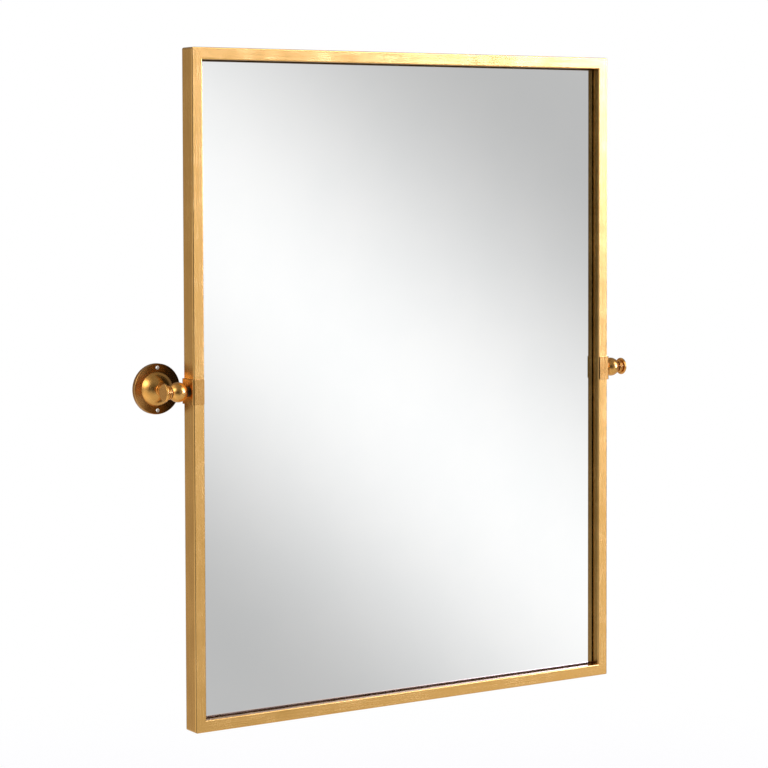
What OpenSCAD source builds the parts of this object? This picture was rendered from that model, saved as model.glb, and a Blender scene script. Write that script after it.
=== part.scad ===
// Pivot wall mirror: a mirror set back in a mitred tube frame, which tilts on two
// horizontal studs between turned wall brackets. The knob on each stud sets the friction.
//
// The origin lies on the wall, midway between the wall plates, at the height of the studs.
// +X points right, +Y into the wall and +Z up, so the mirror faces -Y.

/* [Frame] */
// Width of the frame over its stiles
frame_w = 635; // [400:1:900]
// Height of the frame over its rails
frame_h = 838; // [500:1:1200]
// Width of the frame's front face
face_w = 15; // [13:0.5:25]
// Depth of the frame from front to back
frame_depth = 25.4; // [25:0.1:45]
// Wall thickness of the frame tube
tube_wall = 1.2; // [0.8:0.1:2]
// Radius along the tube's long outer edges
edge_r = 1.4; // [0.4:0.1:1.6]
// Radius of the frame's four outer corners, seen from the front
corner_r = 3; // [0.5:0.5:3.5]

/* [Mirror] */
// Distance from the frame's front face back to the glass
glass_recess = 12; // [6:0.1:12.9]
// Thickness of the mirror glass
glass_t = 3; // [2:0.1:3.9]
// Gap between the glass and the frame, all round
glass_gap = 1.5; // [1:0.1:4]
// Width of the ground arris on the front edges of the glass
arris = 0.6; // [0.2:0.1:1]

/* [Backing] */
// Thickness of the foam tape between glass and board
tape_t = 0.8; // [0.5:0.1:1.2]
// Width of each strip of foam tape
tape_w = 25; // [12:1:40]
// Number of upright strips of foam tape
tape_count = 4; // [2:1:6]
// Distance from the glass's edges to the nearest foam tape
tape_margin = 30; // [10:1:60]
// Thickness of the backing board
board_t = 3; // [2.5:0.1:3.9]
// Gap between the backing board and the frame, all round, which the edge seal fills
board_gap = 1; // [0.5:0.1:3]
// Width of an L bracket along the frame
bracket_w = 16; // [12:1:30]
// Length of an L bracket's leg on the board
bracket_leg = 15; // [13:1:30]
// Thickness of the L brackets
bracket_t = 1.2; // [0.8:0.1:1.4]
// Number of L brackets along each rail and each stile
brackets_per_bar = 2; // [2:2:6]

/* [Wall bracket] */
// Distance from the wall to the pivot axis
standoff = 60; // [56:0.5:90]
// Diameter of the wall plate
plate_d = 63; // [60:0.5:80]
// Thickness of the wall plate's rim
plate_t = 6.5; // [5:0.1:8]
// Radius of the wall plate's hollow dome where it rises from the rim
dome_r = 22; // [20:0.1:22.5]
// Height of the whole dome over the rim, of which the post's seat cuts off the top
dome_h = 13; // [11:0.1:16]
// Wall thickness of the dome
dome_wall = 2.8; // [2:0.1:4]
// Distance from the wall plate's edge to the centres of its two wall screw holes
screw_margin = 5; // [4:0.05:5.5]
// Diameter of the wall screw holes
screw_hole_d = 4.8; // [4:0.1:5.5]
// Diameter of the post where it stands on the dome
post_foot_d = 17; // [15:0.5:19]
// Diameter of the post where it enters the ball
post_d = 12.6; // [11:0.1:15]
// Diameter of the ball hub
ball_d = 24.7; // [24:0.1:28]

/* [Pivot] */
// Diameter of the pivot stud
stud_d = 6; // [5:0.1:6.5]
// Radial running clearance between the stud and its bush
run_fit = 0.05; // [0.02:0.01:0.1]
// Wall thickness of the pivot bush's sleeve
bush_wall = 1.2; // [1:0.1:1.6]
// Thickness of the bush's flange, between ball and clip
flange_t = 2.5; // [1:0.1:4]
// Play between turning faces
face_play = 0.1; // [0.05:0.05:0.3]
// Thickness of the tension washer, between ball and finial
washer_t = 1.5; // [0.8:0.1:2]
// Thickness of the saddle clip
clip_t = 2; // [1.5:0.1:3]
// Height of the saddle clip
clip_h = 31; // [26:1:50]
// Outer radius of the clip's two bends
clip_bend_r = 2.6; // [1:0.1:3]
// Distance from the stile's inner side to the clip's free edges
clip_inset = 1.3; // [0:0.1:3]
// Radius of the clip's free corners
clip_corner_r = 1.6; // [0.5:0.1:4]

/* [Finial] */
// Diameter of the finial's end disc
finial_d = 22.5; // [18:0.5:26]
// Thickness of the end disc
disc_t = 3.1; // [1.5:0.1:4]
// Diameter of the two beads
bead_d = 17; // [15:0.1:18]
// Thickness of each bead
bead_t = 1.9; // [1.5:0.1:3]
// Diameter of the core between the beads and the disc
core_d = 13; // [11:0.1:14]
// Width of the groove between the beads
bead_gap = 0.5; // [0.3:0.1:1]
// Width of the groove between the beads and the disc
disc_gap = 1; // [0.8:0.1:4]

/* [Hidden] */

$fn = 96;

// Clearance of a thread, which is drawn as a plain cylinder, and of a part that slips in
thread_fit = 0.05;
slip_fit = 0.1;
// Free length of a blind hole past the end of its screw
screw_end_gap = 0.3;
// Width, length and depth of a screw head's cross recess, as shares of the head
recess = [0.25, 1, 0.6];
// How far a cutting shape reaches past what it cuts
over = 1;

// Depths from the wall, as Y coordinates
front_y = -standoff - frame_depth / 2;
back_y = -standoff + frame_depth / 2;
glass_y = front_y + glass_recess;
tape_y = glass_y + glass_t;
board_y = tape_y + tape_t;
board_back_y = board_y + board_t;

// Frame openings and what lies in them
opening_w = frame_w - 2 * face_w;
opening_h = frame_h - 2 * face_w;
glass_w = opening_w - 2 * glass_gap;
glass_h = opening_h - 2 * glass_gap;
board_w = opening_w - 2 * board_gap;
board_h = opening_h - 2 * board_gap;
tape_pitch = (glass_w - 2 * tape_margin - tape_w) / (tape_count - 1);

// Board brackets: [shank radius, head radius, head thickness] of their screws
frame_screw = [1.1, 2, 1.3];
board_screw = [1.25, 2.3, 1.3];
frame_screw_len = 4;
board_screw_skin = 0.7;
board_screw_len = board_t - board_screw_skin;
bracket_inset = 0.4;
bracket_screw_y = (board_back_y + bracket_t + back_y - bracket_inset) / 2;
board_screw_reach = 9;

// Bars of the frame, clockwise from the top: lengths and distances from the centre
bar_len = [frame_w, frame_h, frame_w, frame_h];
bar_out = [frame_h, frame_w, frame_h, frame_w] / 2;

// Along X, outwards from the stile's outer side
stile_x = frame_w / 2;
clip_x = stile_x + clip_t;
ball_r = ball_d / 2;
flange_r = 6.2;
washer_r = 6.8;
// Width of the flat left on the ball round the flange and the washer
land = 0.5;
hub_in = sqrt(pow(ball_r, 2) - pow(flange_r + land, 2));
hub_out = sqrt(pow(ball_r, 2) - pow(washer_r + land, 2));
hub_x = clip_x + face_play + flange_t + hub_in;
washer_x = hub_x + hub_out + face_play;
finial_x = washer_x + washer_t;

// Pivot radii and lengths
stud_r = stud_d / 2;
stud_chamfer = 0.5;
stud_end_gap = 0.3;
block_end_t = 2;
finial_end_t = 2.4;
bush_in_r = stud_r + run_fit;
bush_out_r = bush_in_r + bush_wall;
block_t = face_w - 2 * tube_wall - slip_fit;
block_depth = frame_depth - 2 * tube_wall - 2 * slip_fit;
block_x = stile_x - tube_wall - block_t;
stud_in_block = block_t - block_end_t;
stud_drill = stud_in_block + stud_end_gap;
stud_x = stile_x - tube_wall - stud_in_block;
// Radius of the rims of beads and disc, as a share of their thickness
rim_round = 0.45;
finial_len = 2 * bead_t + bead_gap + disc_gap + disc_t;
finial_bore = finial_len - finial_end_t;
stud_len = finial_x + finial_bore - stud_end_gap - stud_x;

// Clip screws, given as the board brackets' screws are, and their distance from the axis
clip_screw = [1.5, 2.8, 1.6];
clip_screw_len = 9;
clip_screw_z = 9;

// Wall plate and post
screw_spacing = plate_d - 2 * screw_margin;
plate_edge_r = 1.2;
// Radius of the sphere that the dome is cut from, and its centre's distance from the wall
dome_sphere_r = (pow(dome_r, 2) + pow(dome_h, 2)) / (2 * dome_h);
dome_centre = plate_t + dome_h - dome_sphere_r;
foot_r = post_foot_d / 2;
seat_h = dome_centre + sqrt(pow(dome_sphere_r, 2) - pow(foot_r, 2));
seat_wall = 3;
foot_t = 2.4;
foot_edge_r = 0.8;
flare_h = 5;
post_screw = [3, 5, 3.2];
post_screw_depth = 12;
lock_washer_t = 1.5;
lock_washer_r = 5.2;
lock_washer_slot = 1.2;
lock_washer_y = seat_h - seat_wall;

brass = [0.83, 0.62, 0.33];
aged_brass = [0.62, 0.42, 0.2];
zinc = [0.72, 0.73, 0.74];
nylon = [0.2, 0.17, 0.14];
silver = [0.88, 0.9, 0.91];
foam = [0.93, 0.93, 0.9];
fibreboard = [0.16, 0.15, 0.14];
rubber = [0.06, 0.06, 0.06];

// ---- Helpers ----

// A rectangle with true arcs at its corners
module rounded_rect(w, h, r) {
    square([w - 2 * r, h], center = true);
    square([w, h - 2 * r], center = true);
    for (x = [-1, 1], y = [-1, 1])
        translate([x * (w / 2 - r), y * (h / 2 - r)]) circle(r);
}

// Half section of a turned disc from the axis to r, with its rim rounded on both faces
module disc_section(r, t, round_r) {
    square([r - round_r, t]);
    translate([0, round_r]) square([r, t - 2 * round_r]);
    for (h = [round_r, t - round_r])
        translate([r - round_r, h]) circle(round_r);
}

// Right-hand parts are drawn as they lie, and left-hand ones are their mirror image
module on_left() {
    mirror([1, 0, 0]) children();
}

// Turns +Z to +X, from x along the pivot axis
module along_pivot(x) {
    translate([x, -standoff, 0]) rotate([0, 90, 0]) children();
}

// Turns +Z out of the wall, on the centre of the right-hand wall bracket
module from_wall(h = 0) {
    translate([hub_x, -h, 0]) rotate([90, 0, 0]) children();
}

// Carries a bar's own frame, X along the bar and +Z outwards, to side 0 to 3
module on_side(i) {
    rotate([0, 90 * i, 0]) translate([0, 0, bar_out[i] - face_w / 2]) children();
}

// Places along a bar where its L brackets sit, clear of the middle
function bracket_places(i) =
    [for (k = [0:brackets_per_bar - 1])
        (k - (brackets_per_bar - 1) / 2) * bar_len[i] / brackets_per_bar];

// A pan-head screw along +Z, its head under z = 0 and its shank above.
// The size holds the shank's radius and the head's radius and thickness.
module pan_screw(size, length) {
    head_r = size[1];
    head_t = size[2];
    cylinder(r = size[0], h = length);
    difference() {
        rotate_extrude() {
            translate([0, -head_t / 2]) square([head_r, head_t / 2]);
            translate([0, -head_t]) square([head_r - head_t / 2, head_t]);
            translate([head_r - head_t / 2, -head_t / 2]) circle(head_t / 2);
        }
        for (a = [0, 90])
            rotate(a) translate([0, 0, -head_t])
                cube([head_r * recess[1], head_r * recess[0], head_t * recess[2] * 2], center = true);
    }
}

// ---- Frame ----

// Bar i in its own frame: a tube with mitred ends and the bracket screws' holes
module bar(i) {
    length = bar_len[i];
    difference() {
        intersection() {
            translate([-length / 2, -standoff, 0]) rotate([90, 0, 90]) linear_extrude(length)
                difference() {
                    rounded_rect(frame_depth, face_w, edge_r);
                    square([frame_depth - 2 * tube_wall, face_w - 2 * tube_wall], center = true);
                }
            translate([0, -standoff, 0]) rotate([90, 0, 0])
                linear_extrude(frame_depth + 2 * over, center = true) mitred_outline(length);
        }
        for (x = bracket_places(i))
            translate([x, bracket_screw_y, -face_w / 2 - over])
                cylinder(r = frame_screw[0] + thread_fit, h = tube_wall + 2 * over);
    }
}

// Outline of a bar from the front, mitred to the inner corners and rounded at the outer ones
module mitred_outline(length) {
    half = length / 2;
    intersection() {
        polygon([
            [-half, face_w / 2], [half, face_w / 2],
            [half - face_w, -face_w / 2], [-half + face_w, -face_w / 2]
        ]);
        translate([0, face_w / 2 - length / 2]) rounded_rect(length, length, corner_r);
    }
}

// A stile's bar with its holes for the pivot stud and the clip's screws
module stile(i) {
    difference() {
        on_side(i) bar(i);
        mirror([i == 3 ? 1 : 0, 0, 0]) {
            along_pivot(stile_x - tube_wall - over)
                cylinder(r = stud_r + slip_fit, h = tube_wall + 2 * over);
            clip_screw_places() cylinder(r = clip_screw[0] + slip_fit, h = tube_wall + clip_t + over);
        }
    }
}

module frame_top_rail() {
    color(brass) on_side(0) bar(0);
}

module frame_right_stile() {
    color(brass) stile(1);
}

module frame_bottom_rail() {
    color(brass) on_side(2) bar(2);
}

module frame_left_stile() {
    color(brass) stile(3);
}

// ---- Mirror and backing ----

// A sheet of the given size whose front lies at y
module sheet(w, h, y, t) {
    translate([-w / 2, y, -h / 2]) cube([w, t, h]);
}

module mirror_glass() {
    color(silver) difference() {
        sheet(glass_w, glass_h, glass_y, glass_t);
        for (i = [0:3])
            rotate([0, 90 * i, 0])
                translate([0, glass_y, (i % 2 == 0 ? glass_h : glass_w) / 2])
                    rotate([45, 0, 0])
                        cube([2 * frame_h + 2 * frame_w, arris * sqrt(2), arris * sqrt(2)], center = true);
    }
}

module foam_tape() {
    color(foam) for (k = [0:tape_count - 1])
        translate([-glass_w / 2 + tape_margin + tape_w / 2 + k * tape_pitch, 0, 0])
            sheet(tape_w, glass_h - 2 * tape_margin, tape_y, tape_t);
}

module backing_board() {
    color(fibreboard) difference() {
        sheet(board_w, board_h, board_y, board_t);
        for (i = [0:3])
            on_side(i) board_screw_places(i)
                cylinder(r = board_screw[0] + thread_fit, h = board_screw_len + screw_end_gap);
    }
}

// The strip round the board that keeps light out of the gap beside the glass
module edge_seal() {
    color(rubber) difference() {
        sheet(opening_w, opening_h, board_y, board_t);
        sheet(board_w, board_h, board_y - over, board_t + 2 * over);
    }
}

// Carries a board screw, its axis along +Z, to each bracket of bar i
module board_screw_places(i) {
    for (x = bracket_places(i))
        translate([x, board_back_y, -face_w / 2 - board_screw_reach]) rotate([90, 0, 0]) children();
}

// Carries a frame screw, its axis along +Z, to each bracket of bar i
module frame_screw_places(i) {
    for (x = bracket_places(i))
        translate([x, bracket_screw_y, -face_w / 2]) children();
}

module l_bracket() {
    rotate([0, 90, 0]) linear_extrude(bracket_w, center = true) polygon([
        [face_w / 2, board_back_y],
        [face_w / 2 + bracket_leg, board_back_y],
        [face_w / 2 + bracket_leg, board_back_y + bracket_t],
        [face_w / 2 + bracket_t, board_back_y + bracket_t],
        [face_w / 2 + bracket_t, back_y - bracket_inset],
        [face_w / 2, back_y - bracket_inset]
    ]);
}

module board_brackets() {
    color(zinc) for (i = [0:3])
        on_side(i) difference() {
            for (x = bracket_places(i)) translate([x, 0, 0]) l_bracket();
            frame_screw_places(i)
                translate([0, 0, -bracket_t - over])
                    cylinder(r = frame_screw[0] + slip_fit, h = bracket_t + 2 * over);
            board_screw_places(i)
                translate([0, 0, -bracket_t - over])
                    cylinder(r = board_screw[0] + slip_fit, h = bracket_t + 2 * over);
        }
}

module bracket_frame_screws() {
    color(zinc) for (i = [0:3])
        on_side(i) frame_screw_places(i)
            translate([0, 0, -bracket_t]) pan_screw(frame_screw, frame_screw_len);
}

module bracket_board_screws() {
    color(zinc) for (i = [0:3])
        on_side(i) board_screw_places(i)
            translate([0, 0, -bracket_t]) pan_screw(board_screw, board_screw_len + bracket_t);
}

// ---- Wall bracket, right hand ----

module wall_plate() {
    color(aged_brass) difference() {
        from_wall() rotate_extrude() difference() {
            union() {
                square([plate_d / 2, plate_t - plate_edge_r]);
                square([plate_d / 2 - plate_edge_r, plate_t]);
                translate([plate_d / 2 - plate_edge_r, plate_t - plate_edge_r]) circle(plate_edge_r);
                intersection() {
                    translate([0, dome_centre]) circle(dome_sphere_r);
                    square([dome_r, seat_h]);
                }
            }
            intersection() {
                translate([0, dome_centre]) circle(dome_sphere_r - dome_wall);
                translate([0, -over]) square([dome_r, seat_h - seat_wall + over]);
            }
            translate([0, -over]) square([post_screw[0] + slip_fit, seat_h + 2 * over]);
            translate([-plate_d, -over]) square([plate_d, seat_h + 2 * over]);
        }
        for (z = [-1, 1])
            from_wall(-over) translate([0, z * screw_spacing / 2, 0])
                cylinder(d = screw_hole_d, h = plate_t + 2 * over);
    }
}

module post() {
    color(aged_brass) difference() {
        union() {
            from_wall(seat_h) rotate_extrude() {
                disc_section(foot_r, foot_t, foot_edge_r);
                polygon([
                    [0, foot_t / 2], [foot_r - foot_edge_r, foot_t / 2],
                    [post_d / 2, foot_t + flare_h], [post_d / 2, standoff - seat_h], [0, standoff - seat_h]
                ]);
            }
            from_wall(standoff) sphere(ball_r);
        }
        from_wall(seat_h - over)
            cylinder(r = post_screw[0] + thread_fit, h = post_screw_depth + screw_end_gap + over);
        along_pivot(hub_x - hub_in - over)
            cylinder(r = bush_out_r + thread_fit, h = hub_in + hub_out + 2 * over);
        along_pivot(hub_x + hub_out) cylinder(r = ball_r, h = ball_r);
        along_pivot(hub_x - hub_in - ball_r) cylinder(r = ball_r, h = ball_r);
    }
}

module post_screw() {
    color(zinc) from_wall(lock_washer_y - lock_washer_t)
        pan_screw(post_screw, post_screw_depth + seat_wall + lock_washer_t);
}

module lock_washer() {
    color(zinc) from_wall(lock_washer_y - lock_washer_t) difference() {
        cylinder(r = lock_washer_r, h = lock_washer_t);
        translate([0, 0, -over]) cylinder(r = post_screw[0] + slip_fit, h = lock_washer_t + 2 * over);
        translate([0, -lock_washer_slot / 2, -over])
            cube([lock_washer_r + over, lock_washer_slot, lock_washer_t + 2 * over]);
    }
}

// ---- Pivot, right hand ----

module pivot_bush() {
    color(nylon) along_pivot(clip_x + face_play) difference() {
        union() {
            cylinder(r = flange_r, h = flange_t);
            cylinder(r = bush_out_r, h = flange_t + hub_in + hub_out);
        }
        translate([0, 0, -over]) cylinder(r = bush_in_r, h = flange_t + hub_in + hub_out + 2 * over);
    }
}

module pivot_stud() {
    color(zinc) along_pivot(stud_x) rotate_extrude() polygon([
        [0, 0], [stud_r - stud_chamfer, 0], [stud_r, stud_chamfer],
        [stud_r, stud_len - stud_chamfer], [stud_r - stud_chamfer, stud_len], [0, stud_len]
    ]);
}

// Carries a clip screw, its axis along +Z and towards the room, to its places on the clip's back
module clip_screw_places() {
    for (z = [-1, 1])
        translate([stile_x - face_w / 2, back_y + clip_t, z * clip_screw_z])
            rotate([90, 0, 0]) children();
}

module stile_block() {
    color(zinc) difference() {
        translate([block_x, -standoff - block_depth / 2, -clip_h / 2])
            cube([block_t, block_depth, clip_h]);
        along_pivot(stile_x - tube_wall - stud_drill)
            cylinder(r = stud_r + thread_fit, h = stud_drill + over);
        clip_screw_places() cylinder(r = clip_screw[0] + thread_fit, h = clip_screw_len + screw_end_gap);
    }
}

module clip() {
    depth = frame_depth + 2 * clip_t;
    width = face_w + clip_t - clip_inset;
    color(brass) difference() {
        intersection() {
            translate([clip_x - width, front_y - clip_t, -clip_h / 2]) linear_extrude(clip_h)
                difference() {
                    union() {
                        square([width - clip_bend_r, depth]);
                        translate([0, clip_bend_r]) square([width, depth - 2 * clip_bend_r]);
                        for (y = [clip_bend_r, depth - clip_bend_r])
                            translate([width - clip_bend_r, y]) circle(clip_bend_r);
                    }
                    translate([-over, clip_t]) square([width - clip_t + over, frame_depth]);
                }
            translate([clip_x, -standoff, 0]) rotate([90, 0, 0])
                linear_extrude(depth + 2 * over, center = true)
                    rounded_rect(2 * width, clip_h, clip_corner_r);
        }
        along_pivot(stile_x - over) cylinder(r = stud_r + slip_fit, h = clip_t + 2 * over);
        clip_screw_places()
            translate([0, 0, -over]) cylinder(r = clip_screw[0] + slip_fit, h = clip_t + 2 * over);
    }
}

module clip_screws() {
    color(brass) clip_screw_places() pan_screw(clip_screw, clip_screw_len);
}

module tension_washer() {
    color(nylon) along_pivot(washer_x) difference() {
        cylinder(r = washer_r, h = washer_t);
        translate([0, 0, -over]) cylinder(r = stud_r + slip_fit, h = washer_t + 2 * over);
    }
}

// The knob: two beads, a groove and a thick disc with a rounded rim
module finial() {
    second = bead_t + bead_gap;
    disc_h = second + bead_t + disc_gap;
    color(aged_brass) along_pivot(finial_x) rotate_extrude() difference() {
        union() {
            square([core_d / 2, disc_h + disc_t / 2]);
            disc_section(bead_d / 2, bead_t, bead_t * rim_round);
            translate([0, second]) disc_section(bead_d / 2, bead_t, bead_t * rim_round);
            translate([0, disc_h]) disc_section(finial_d / 2, disc_t, disc_t * rim_round);
        }
        translate([0, -over]) square([stud_r + thread_fit, finial_bore + over]);
        translate([-finial_d, -over]) square([finial_d, finial_len + 2 * over]);
    }
}

frame_top_rail();
frame_right_stile();
frame_bottom_rail();
frame_left_stile();
mirror_glass();
foam_tape();
backing_board();
edge_seal();
board_brackets();
bracket_frame_screws();
bracket_board_screws();
on_left() wall_plate();  // left_wall_plate
on_left() post();  // left_post
on_left() post_screw();  // left_post_screw
on_left() lock_washer();  // left_lock_washer
on_left() pivot_bush();  // left_pivot_bush
on_left() pivot_stud();  // left_pivot_stud
on_left() stile_block();  // left_stile_block
on_left() clip();  // left_clip
on_left() clip_screws();  // left_clip_screws
on_left() tension_washer();  // left_tension_washer
on_left() finial();  // left_finial
wall_plate();  // right_wall_plate
post();  // right_post
post_screw();  // right_post_screw
lock_washer();  // right_lock_washer
pivot_bush();  // right_pivot_bush
pivot_stud();  // right_pivot_stud
stile_block();  // right_stile_block
clip();  // right_clip
clip_screws();  // right_clip_screws
tension_washer();  // right_tension_washer
finial();  // right_finial
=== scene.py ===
"""Looks for the pivot wall mirror: camera, light, floor and materials on the CAD frame."""

import math

import bpy
from mathutils import Matrix, Vector


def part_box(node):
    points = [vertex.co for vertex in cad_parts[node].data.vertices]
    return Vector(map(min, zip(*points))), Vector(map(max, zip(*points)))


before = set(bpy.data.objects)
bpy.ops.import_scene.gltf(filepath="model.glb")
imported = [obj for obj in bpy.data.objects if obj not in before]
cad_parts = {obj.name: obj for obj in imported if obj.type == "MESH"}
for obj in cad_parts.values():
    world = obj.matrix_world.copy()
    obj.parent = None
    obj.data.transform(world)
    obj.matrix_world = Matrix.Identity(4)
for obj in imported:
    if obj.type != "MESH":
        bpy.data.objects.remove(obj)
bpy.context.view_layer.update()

# ---- Camera, solved from the photograph's edges ----

PHOTO_PX = 768
SENSOR_MM = 36.0
FOCAL_PX = 2418.9
CAMERA_AT = Vector((-1.7073, -2.6623, 0.2734))
YAW = math.radians(32.741)
PITCH = math.radians(-2.469)
ROLL = math.radians(0.167)
LENS_AXIS_ROW = 271  # the photograph's row that the lens axis meets, from the bottom
CLIP_END = 100

camera = bpy.data.objects.new("camera", bpy.data.cameras.new("camera"))
bpy.context.scene.collection.objects.link(camera)
bpy.context.scene.camera = camera
camera.data.sensor_width = SENSOR_MM
camera.data.lens = FOCAL_PX / PHOTO_PX * SENSOR_MM
camera.data.shift_y = (LENS_AXIS_ROW - PHOTO_PX / 2) / PHOTO_PX
camera.data.clip_end = CLIP_END
camera.matrix_world = (
    Matrix.Translation(CAMERA_AT)
    @ Matrix.Rotation(-YAW, 4, "Z")
    @ Matrix.Rotation(math.pi / 2 + PITCH, 4, "X")
    @ Matrix.Rotation(-ROLL, 4, "Z")
)

# ---- Node helpers ----

# Outputs of the Texture Coordinate node
GENERATED, NORMAL, OBJECT = 0, 1, 3
# Colour sockets of the Mix node
MIX_FACTOR, MIX_A, MIX_B, MIX_RESULT = 0, 6, 7, 2
# Blender's noise lies mostly between these two
NOISE_LOW, NOISE_HIGH = 0.3, 0.7


class Nodes:
    """Short calls that add nodes to one material's or world's tree and return their outputs."""

    def __init__(self, tree):
        self.tree = tree
        tree.nodes.clear()

    def fill(self, socket, value):
        """Links an output to the socket, or sets the socket to a constant."""
        if isinstance(value, bpy.types.NodeSocket):
            self.tree.links.new(value, socket)
        else:
            socket.default_value = value

    def add(self, kind, inputs=None, out=0, **props):
        n = self.tree.nodes.new(kind)
        for k, v in props.items():
            setattr(n, k, v)
        for k, v in (inputs or {}).items():
            self.fill(n.inputs[k], v)
        return n.outputs[out] if len(n.outputs) else n

    def math(self, op, a, b=0.0):
        return self.add("ShaderNodeMath", {0: a, 1: b}, operation=op)

    def vec(self, op, a, b=(0, 0, 0), out=0):
        return self.add("ShaderNodeVectorMath", {0: a, 1: b}, out, operation=op)

    def combine(self, x, y, z):
        return self.add("ShaderNodeCombineXYZ", {0: x, 1: y, 2: z})

    def split(self, v):
        n = self.add("ShaderNodeSeparateXYZ", {0: v}).node
        return n.outputs[0], n.outputs[1], n.outputs[2]

    def coord(self, output):
        return self.add("ShaderNodeTexCoord", out=output)

    def ramp(self, v, lo, hi, a=0.0, b=1.0, smooth=True):
        """Goes from a to b as v goes from lo to hi."""
        return self.add(
            "ShaderNodeMapRange",
            {"Value": v, "From Min": lo, "From Max": hi, "To Min": a, "To Max": b},
            interpolation_type="SMOOTHSTEP" if smooth else "LINEAR",
        )

    def vary(self, noise, a=0.0, b=1.0, smooth=True):
        """Goes from a to b over the range that a noise fills."""
        return self.ramp(noise, NOISE_LOW, NOISE_HIGH, a, b, smooth)

    def mix(self, factor, a, b, mode="MIX"):
        n = self.tree.nodes.new("ShaderNodeMix")
        n.data_type = "RGBA"
        n.blend_type = mode
        self.fill(n.inputs[MIX_FACTOR], factor)
        for i, v in ((MIX_A, a), (MIX_B, b)):
            self.fill(n.inputs[i], (*v, 1.0) if isinstance(v, tuple) else v)
        return n.outputs[MIX_RESULT]

    def noise(self, vector, scale, detail=2.0, rough=0.5):
        return self.add(
            "ShaderNodeTexNoise",
            {"Vector": vector, "Scale": scale, "Detail": detail, "Roughness": rough},
        )

    def bump(self, strength, distance, height):
        return self.add(
            "ShaderNodeBump", {"Strength": strength, "Distance": distance, "Height": height}
        )


def shade(colour, factor):
    return tuple(c * factor for c in colour)


def cos_deg(angle):
    return math.cos(math.radians(angle))


# ---- World: white for the camera, a studio for everything else ----

# Soft round lights: azimuth from the room's side towards +X, elevation, and the width at which
# the light has fallen to about 0.6, all in degrees, and the level. A negative level takes away.
LIGHTS = (
    (44, 6, 5.2, 35.0),
    (54, 12, 7.5, 1.7),
    (46, 28, 9, 6.0),
    (22, -16, 8, 0.5),
    (-37, -1, 18, -0.2),
    (-37, -16, 6, 0.3),
    (-76, 28, 11, 5.0),
    (-72, -12, 12, 0.6),
    (-125, -9, 15, 0.93),
    (-126, 45, 13.5, 1.0),
    (-81, -39, 19, 0.40),
)
# Level between the lights: from and to which height of the ray, and from and to which level
GROUND_LEVEL = (-0.6, -0.15, 0.53, 0.0)
SKY_LEVEL = (0.1, 0.8, 0.205, 0.30)
DARKEST = 0.06

# The mirror shows one soft band of light, which falls from upper left to lower right. It is seen
# only within a window of directions, in which no other light is.
BAND_LOW, BAND_HIGH = 0.535, 1.05
BAND_RIGHT, BAND_UP = 0.664, 0.747  # the direction across the band
BAND_AT = -0.069
BAND_BELOW, BAND_ABOVE = math.radians(7.1), math.radians(7.7)
WINDOW_AT = (33, -5)
WINDOW_FULL, WINDOW_END = 11, 16

# The wall side of the studio is a little warmer than the room side
WHITE = (1.0, 1.0, 1.0)
WALL_TINT = (1.0, 0.93, 0.84)
WALL_FROM, WALL_TO = -0.4, 0.4
# The main light and its core are cooler: azimuth, elevation, the angles from there at which the
# tint is full and ends, all in degrees, and the tint
MAIN_TINTS = (
    (46, 14, 12, 28, (0.85, 0.89, 1.20)),
    (44, 6, 6, 13, (0.80, 0.90, 1.75)),
)

world = bpy.data.worlds.new("studio")
bpy.context.scene.world = world
world.use_nodes = True
w = Nodes(world.node_tree)
ray = w.coord(GENERATED)
_, ray_y, ray_z = w.split(ray)
is_seen = w.add("ShaderNodeLightPath").node.outputs["Is Camera Ray"]


def cos_from(azimuth, elevation):
    """Cosine of the angle between the ray and a direction given in degrees."""
    a, e = math.radians(azimuth), math.radians(elevation)
    toward = (math.sin(a) * math.cos(e), -math.cos(a) * math.cos(e), math.sin(e))
    return w.vec("DOT_PRODUCT", ray, toward, out=1)


def light(azimuth, elevation, width, strength):
    k = 1 / math.radians(width) ** 2
    off = w.math("SUBTRACT", cos_from(azimuth, elevation), 1.0)
    return w.math("MULTIPLY", w.math("EXPONENT", w.math("MULTIPLY", off, k)), strength)


level = w.math("ADD", w.ramp(ray_z, *GROUND_LEVEL), w.ramp(ray_z, *SKY_LEVEL))
for values in LIGHTS:
    level = w.math("ADD", level, light(*values))
level = w.math("MAXIMUM", level, DARKEST)

camera_right = Vector((math.cos(YAW), math.sin(YAW), 0.0))
across = camera_right * BAND_RIGHT + Vector((0.0, 0.0, BAND_UP))
off_band = w.math("SUBTRACT", w.vec("DOT_PRODUCT", ray, tuple(across), out=1), BAND_AT)
above = w.math("DIVIDE", off_band, BAND_ABOVE)
below = w.math("DIVIDE", off_band, -BAND_BELOW)
off_band = w.math("MINIMUM", w.math("MAXIMUM", above, below), 1.0)
wave = w.math("COSINE", w.math("MULTIPLY", off_band, math.pi))
band = w.ramp(wave, -1.0, 1.0, BAND_LOW, BAND_HIGH, smooth=False)
window = w.ramp(cos_from(*WINDOW_AT), cos_deg(WINDOW_END), cos_deg(WINDOW_FULL))
outside = w.math("MULTIPLY", level, w.math("SUBTRACT", 1.0, window))
studio = w.math("ADD", outside, w.math("MULTIPLY", band, window))

warm = w.math("MULTIPLY", w.ramp(ray_y, WALL_FROM, WALL_TO), w.math("SUBTRACT", 1.0, is_seen))
tint = w.mix(warm, WHITE, WALL_TINT)
studio_only = w.math("SUBTRACT", 1.0, w.math("MAXIMUM", window, is_seen))
for azimuth, elevation, full, end, colour in MAIN_TINTS:
    cool = w.ramp(cos_from(azimuth, elevation), cos_deg(end), cos_deg(full))
    tint = w.mix(w.math("MULTIPLY", cool, studio_only), tint, colour)
strength = w.math("MAXIMUM", is_seen, studio)
background = w.add("ShaderNodeBackground", {"Color": tint, "Strength": strength})
w.add("ShaderNodeOutputWorld", {"Surface": background})

# ---- Floor: pale, with the mirror's shadow, and white far off ----

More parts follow.
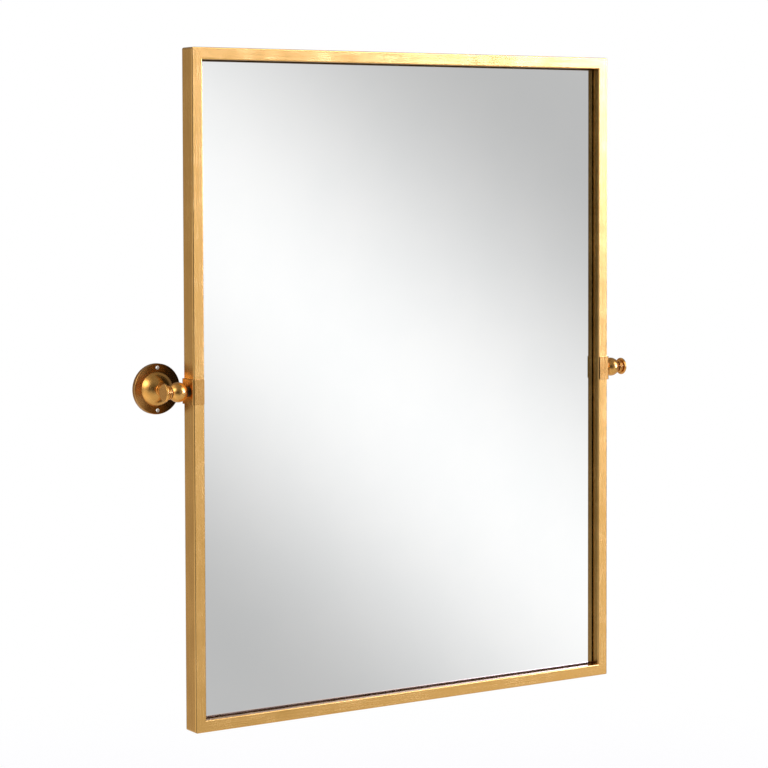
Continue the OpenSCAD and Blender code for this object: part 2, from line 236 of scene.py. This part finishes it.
FLOOR_Z = -1.35
FLOOR_R = 9.0
FLOOR_SIDES = 96
FLOOR_PALE = (0.8, 0.8, 0.8, 1)
FLOOR_WHITE = (1, 1, 1, 1)
FLOOR_GLOW = 0.4
FADE_FROM, FADE_TO = 2.5, 4.5

floor_mesh = bpy.data.meshes.new("floor")
ring = [
    (FLOOR_R * math.cos(a), FLOOR_R * math.sin(a), FLOOR_Z)
    for a in (math.tau * i / FLOOR_SIDES for i in range(FLOOR_SIDES))
]
floor_mesh.from_pydata(ring, [], [list(range(FLOOR_SIDES))])
floor = bpy.data.objects.new("floor", floor_mesh)
bpy.context.scene.collection.objects.link(floor)
floor.visible_glossy = False
floor_look = bpy.data.materials.new("floor")
floor_look.use_nodes = True
f = Nodes(floor_look.node_tree)
seen = f.add("ShaderNodeLightPath").node.outputs["Is Camera Ray"]
pale = f.add("ShaderNodeBsdfDiffuse", {"Color": FLOOR_PALE})
glow_level = f.math("MULTIPLY", seen, FLOOR_GLOW)
glow = f.add("ShaderNodeEmission", {"Color": FLOOR_WHITE, "Strength": glow_level})
near_floor = f.add("ShaderNodeAddShader", {0: pale, 1: glow})
far_floor = f.add("ShaderNodeEmission", {"Color": FLOOR_WHITE, "Strength": seen})
reach = f.vec("LENGTH", f.coord(OBJECT), out=1)
fade = f.ramp(reach, FADE_FROM, FADE_TO)
floor_mix = f.add("ShaderNodeMixShader", {0: fade, 1: near_floor, 2: far_floor})
f.add("ShaderNodeOutputMaterial", {"Surface": floor_mix})
floor_mesh.materials.append(floor_look)

# ---- Materials ----

BRASS = (0.845, 0.49, 0.150)
BRASS_DARK = (0.765, 0.427, 0.113)
# Lighter brass for rounded edges: wear from handling, and a painted highlight
BRASS_EDGE_WEAR_AND_HIGHLIGHT = (0.95, 0.62, 0.27)
BRASS_ROUGH = 0.24
CLIP_BRASS = (0.67, 0.36, 0.10)
CLIP_DARK = (0.55, 0.28, 0.065)
CLIP_ROUGH = 0.26
TURNED = (0.86, 0.47, 0.135)
TURNED_DARK = (0.68, 0.33, 0.075)
TURNED_ROUGH = 0.26
PLATE_AGE, FITTING_AGE = 0.12, 0.08
# Painted shade on the wall plate's flat rim, multiplied into its colour
RIM_PAINTED_SHADE = (0.68, 0.66, 0.75)
# Pale screw-hole walls: the drilled metal, and painted light
BARE_METAL_AND_PAINTED_LIGHT = (0.95, 0.89, 0.83)
# Sizes of the wall plate, as in part.scad: the dome's radius, and the screw holes' place and radius
DOME_R = 0.022
SCREW_AT, SCREW_R = 0.0265, 0.0024
# Stretch of the brushed streaks, by the axis that they run along
FINE_STREAK = {"x": (14, 1100, 1100), "z": (1100, 1100, 14)}
WIDE_STREAK = {"x": (4, 260, 260), "z": (260, 260, 4)}
# Painted shade on faces of brushed pieces that look towards the mirror's middle, the rails' faces
# beside the glass and the clips' cut edges: axis (0 is x, 2 is z) and the factor on the dark tone
RAIL_INNER_PAINTED_SHADE = (2, 0.6)
CLIP_INNER_PAINTED_SHADE = (0, 0.3)
# Height beyond which the seal's top and bottom runs lie
SEAL_RUN_FROM, SEAL_RUN_TO = 0.398, 0.401


def material(name):
    m = bpy.data.materials.new(name)
    m.use_nodes = True
    return m, Nodes(m.node_tree)


def finish(n, **inputs):
    """Ends a material in one Principled shader; an underscore in a name stands for a space."""
    inputs = {k.replace("_", " "): v for k, v in inputs.items()}
    shader = n.add("ShaderNodeBsdfPrincipled", inputs)
    n.add("ShaderNodeOutputMaterial", {"Surface": shader})


def edge_mask(n, normal):
    """1 on rounded edges, 0 on flat faces that lie along the axes."""
    x, y, z = n.split(n.vec("ABSOLUTE", normal))
    flat = n.math("MAXIMUM", x, n.math("MAXIMUM", y, z))
    return n.ramp(flat, 0.985, 0.9)


def brushed_brass(name, along, light_tone, dark_tone, rough, inner=None):
    """Satin brass brushed along one axis, with soft blotches, rounded edges lighter from wear and a
    painted highlight, and painted shade on inward faces where asked.
    """
    m, n = material(name)
    place = n.coord(OBJECT)
    normal = n.coord(NORMAL)
    streak = n.noise(n.vec("MULTIPLY", place, FINE_STREAK[along]), 1.0, 3.0, 0.6)
    wide = n.noise(n.vec("MULTIPLY", place, WIDE_STREAK[along]), 1.0, 2.0)
    blotch = n.noise(place, 28.0, 4.0, 0.55)
    cloud = n.noise(place, 5.0, 2.0)
    tone = n.math("ADD", n.math("MULTIPLY", streak, 0.45), n.math("MULTIPLY", wide, 0.25))
    tone = n.math("ADD", tone, n.math("MULTIPLY", blotch, 0.3))
    tone = n.ramp(tone, 0.34, 0.66, smooth=False)
    colour = n.mix(tone, dark_tone, light_tone)
    speck = n.ramp(n.noise(place, 1900.0, 1.0), 0.70, 0.76)
    colour = n.mix(n.math("MULTIPLY", speck, 0.35), colour, shade(dark_tone, 0.45))
    edge = edge_mask(n, normal)
    # Rounded edges turn lighter in patches: partly wear, partly a painted highlight along the edge
    wear_and_painted_highlight = n.math("MULTIPLY", edge, n.ramp(cloud, 0.35, 0.65, 0.15, 0.55))
    colour = n.mix(wear_and_painted_highlight, colour, BRASS_EDGE_WEAR_AND_HIGHLIGHT)
    if inner:
        # Painted shade: faces that look towards the mirror's middle are darkened towards the dark
        # tone
        axis, inner_shade = inner
        inward = n.math("SIGN", n.split(place)[axis])
        inward = n.math("MULTIPLY", n.split(normal)[axis], inward)
        colour = n.mix(n.ramp(inward, -0.8, -0.95), colour, shade(dark_tone, inner_shade))
    roughness = n.math(
        "ADD",
        n.vary(streak, -0.05, 0.05, smooth=False),
        n.vary(blotch, rough - 0.04, rough + 0.04, smooth=False),
    )
    roughness = n.math("SUBTRACT", roughness, n.math("MULTIPLY", edge, 0.13))
    bump = n.bump(0.12, 0.00004, streak)
    finish(n, Base_Color=colour, Metallic=1.0, Roughness=roughness, Normal=bump)
    return m


def turned_brass(name, axis, centre, age, plate=False):
    """Lathe-turned brass: fine rings round the given axis, and darker with age in patches."""
    m, n = material(name)
    place = n.vec("SUBTRACT", n.coord(OBJECT), centre)
    px, py, pz = n.split(place)
    along, a, b = (px, py, pz) if axis == "x" else (py, px, pz)
    radius = n.math("SQRT", n.math("ADD", n.math("MULTIPLY", a, a), n.math("MULTIPLY", b, b)))
    ring_at = n.combine(n.math("MULTIPLY", along, 1500.0), n.math("MULTIPLY", radius, 1500.0), 0.0)
    rings = n.noise(ring_at, 1.0, 3.0, 0.6)
    blotch = n.noise(place, 90.0, 4.0, 0.6)
    fine = n.noise(place, 420.0, 3.0, 0.6)
    tone = n.math("ADD", n.math("MULTIPLY", rings, 0.35), n.math("MULTIPLY", blotch, 0.45))
    tone = n.math("ADD", tone, n.math("MULTIPLY", fine, 0.2))
    colour = n.mix(n.ramp(tone, 0.36, 0.64), TURNED_DARK, TURNED)
    stain = n.math("MULTIPLY", n.ramp(blotch, 0.48, 0.7), age)
    colour = n.mix(stain, colour, shade(TURNED_DARK, 0.35))
    if plate:
        # The flat rim is darkened with painted shade, and the drilled screw holes' walls are
        # painted pale: drilled metal, and painted light
        rim = n.ramp(radius, DOME_R - 0.0005, DOME_R + 0.0005)
        colour = n.mix(rim, colour, RIM_PAINTED_SHADE, "MULTIPLY")
        # Screw-hole walls painted pale: the drilled metal, and painted light where the holes look
        # bright
        off_hole = n.combine(a, n.math("SUBTRACT", n.math("ABSOLUTE", b), SCREW_AT), 0.0)
        bare_and_painted_light = n.ramp(n.vec("LENGTH", off_hole, out=1), SCREW_R + 0.0002, SCREW_R)
        colour = n.mix(bare_and_painted_light, colour, BARE_METAL_AND_PAINTED_LIGHT)
    roughness = n.math(
        "ADD",
        n.vary(rings, -0.04, 0.04, smooth=False),
        n.vary(fine, TURNED_ROUGH - 0.04, TURNED_ROUGH + 0.04, smooth=False),
    )
    bump = n.bump(0.15, 0.00005, rings)
    finish(n, Base_Color=colour, Metallic=1.0, Roughness=roughness, Normal=bump)
    return m


def mirror_look():
    """Silvered front, pale polished arris, green glass edge and a grey painted back."""
    m, n = material("silvered_glass")
    place = n.coord(OBJECT)
    _, ny, _ = n.split(n.coord(NORMAL))
    front = n.ramp(ny, -0.98, -0.999)
    back = n.ramp(ny, 0.9, 0.95)
    arris = n.math("MULTIPLY", n.ramp(ny, -0.2, -0.5), n.math("SUBTRACT", 1.0, front))
    haze = n.vary(n.noise(place, 9.0, 4.0, 0.55))
    smear = n.noise(n.vec("MULTIPLY", place, (60, 60, 14)), 1.0, 3.0, 0.6)
    grain = n.vary(n.noise(place, 300.0, 2.0))
    mottle = n.ramp(n.noise(place, 60.0, 5.0, 0.6), 0.35, 0.65)
    silver = n.mix(haze, (0.925, 0.935, 0.935), (0.945, 0.95, 0.948))
    edge = n.mix(grain, (0.10, 0.16, 0.14), (0.20, 0.28, 0.25))
    paint = n.mix(mottle, (0.20, 0.205, 0.21), (0.25, 0.255, 0.26))
    colour = n.mix(back, edge, paint)
    colour = n.mix(arris, colour, (0.75, 0.80, 0.78))
    colour = n.mix(front, colour, silver)
    clean = n.math("MULTIPLY", n.ramp(smear, 0.35, 0.75), 0.012)
    roughness = n.mix(back, (0.12, 0.12, 0.12), (0.55, 0.55, 0.55))
    roughness = n.mix(front, roughness, n.combine(clean, clean, clean))
    metallic = n.math("MAXIMUM", front, n.math("MULTIPLY", arris, 0.8))
    finish(
        n, Base_Color=colour, Metallic=metallic, Roughness=roughness, Specular_IOR_Level=0.5
    )
    return m


def zinc_look():
    """Zinc-plated steel, for the fittings that are not brass."""
    m, n = material("zinc_plate")
    place = n.coord(OBJECT)
    grain = n.noise(place, 700.0, 4.0, 0.6)
    cloud = n.noise(place, 60.0, 3.0)
    colour = n.mix(n.ramp(cloud, 0.35, 0.65), (0.52, 0.53, 0.55), (0.68, 0.68, 0.66))
    dull = n.math("MULTIPLY", n.ramp(grain, 0.55, 0.8), 0.4)
    colour = n.mix(dull, colour, (0.35, 0.34, 0.33))
    bump = n.bump(0.15, 0.00005, grain)
    roughness = n.vary(grain, 0.30, 0.44)
    finish(n, Base_Color=colour, Metallic=1.0, Roughness=roughness, Normal=bump)
    return m


def grainy_look(name, light_tone, dark_tone, rough, scale, top_painted_light=None, bottom_painted_light=None):
    """A dull plain material with a fine grain; the seal's top and bottom runs may be tinted brown
    as painted light.
    """
    m, n = material(name)
    place = n.coord(OBJECT)
    grain = n.noise(place, scale, 4.0, 0.6)
    colour = n.mix(n.vary(grain), dark_tone, light_tone)
    # Painted light: the seal's top and bottom runs are tinted brown, the bottom run lighter
    for painted_light, side in ((top_painted_light, 1), (bottom_painted_light, -1)):
        if painted_light:
            run = n.ramp(n.split(place)[2], side * SEAL_RUN_FROM, side * SEAL_RUN_TO)
            colour = n.mix(run, colour, painted_light)
    bump = n.bump(0.25, 0.0001, grain)
    roughness = n.vary(grain, rough - 0.06, rough + 0.06)
    finish(n, Base_Color=colour, Roughness=roughness, Normal=bump)
    return m


def board_look():
    """Black-faced fibreboard with a brown cut edge."""
    m, n = material("black_board")
    place = n.coord(OBJECT)
    _, ny, _ = n.split(n.vec("ABSOLUTE", n.coord(NORMAL)))
    grain = n.noise(n.vec("MULTIPLY", place, (500, 500, 160)), 1.0, 5.0, 0.65)
    scuff = n.noise(place, 14.0, 6.0, 0.7)
    face = n.mix(n.vary(grain), (0.020, 0.019, 0.018), (0.036, 0.034, 0.032))
    scuffed = n.math("MULTIPLY", n.ramp(scuff, 0.56, 0.74), 0.35)
    face = n.mix(scuffed, face, (0.10, 0.095, 0.09))
    cut = n.mix(n.vary(grain), (0.16, 0.10, 0.055), (0.27, 0.18, 0.10))
    colour = n.mix(n.ramp(ny, 0.6, 0.8), cut, face)
    bump = n.bump(0.3, 0.0001, grain)
    finish(n, Base_Color=colour, Roughness=n.vary(scuff, 0.55, 0.75), Normal=bump)
    return m


def dress(look, *nodes):
    for node in nodes:
        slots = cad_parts[node].data.materials
        slots.clear()
        slots.append(look)


rail = brushed_brass("satin_brass_rail", "x", BRASS, BRASS_DARK, BRASS_ROUGH, RAIL_INNER_PAINTED_SHADE)
stile = brushed_brass("satin_brass_stile", "z", BRASS, BRASS_DARK, BRASS_ROUGH)
clip = brushed_brass("satin_brass_clip", "z", CLIP_BRASS, CLIP_DARK, CLIP_ROUGH, CLIP_INNER_PAINTED_SHADE)
zinc = zinc_look()
nylon = grainy_look("dark_nylon", (0.045, 0.035, 0.028), (0.028, 0.022, 0.018), 0.45, 900.0)
fibre = grainy_look("brown_fibre", (0.20, 0.105, 0.045), (0.12, 0.06, 0.025), 0.5, 1100.0)
foam = grainy_look("foam_tape", (0.86, 0.86, 0.83), (0.74, 0.74, 0.71), 0.8, 2500.0)
# The seal's top and bottom runs carry painted light, a brown tint in the shaded gap
rubber = grainy_look(
    "black_rubber",
    (0.022, 0.022, 0.022),
    (0.012, 0.012, 0.012),
    0.7,
    1200.0,
    top_painted_light=(0.20, 0.12, 0.05),
    bottom_painted_light=(0.42, 0.25, 0.13),
)

dress(rail, "frame_top_rail", "frame_bottom_rail")
dress(stile, "frame_left_stile", "frame_right_stile")
dress(mirror_look(), "mirror_glass")
dress(foam, "foam_tape")
dress(board_look(), "backing_board")
dress(rubber, "edge_seal")
dress(zinc, "board_brackets", "bracket_frame_screws", "bracket_board_screws")
for side in ("left_", "right_"):
    low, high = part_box(side + "wall_plate")
    hub = ((low.x + high.x) / 2, 0.0, 0.0)
    low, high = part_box(side + "finial")
    pivot = (0.0, (low.y + high.y) / 2, (low.z + high.z) / 2)
    dress(turned_brass(side + "plate_brass", "y", hub, PLATE_AGE, plate=True), side + "wall_plate")
    dress(turned_brass(side + "knob_brass", "x", pivot, FITTING_AGE), side + "finial")
    dress(turned_brass(side + "post_brass", "y", hub, FITTING_AGE), side + "post")
    dress(zinc, side + "post_screw", side + "lock_washer")
    dress(zinc, side + "pivot_stud", side + "stile_block")
    dress(nylon, side + "pivot_bush")
    dress(fibre, side + "tension_washer")
    dress(clip, side + "clip", side + "clip_screws")

bpy.context.scene.view_settings.view_transform = "Standard"
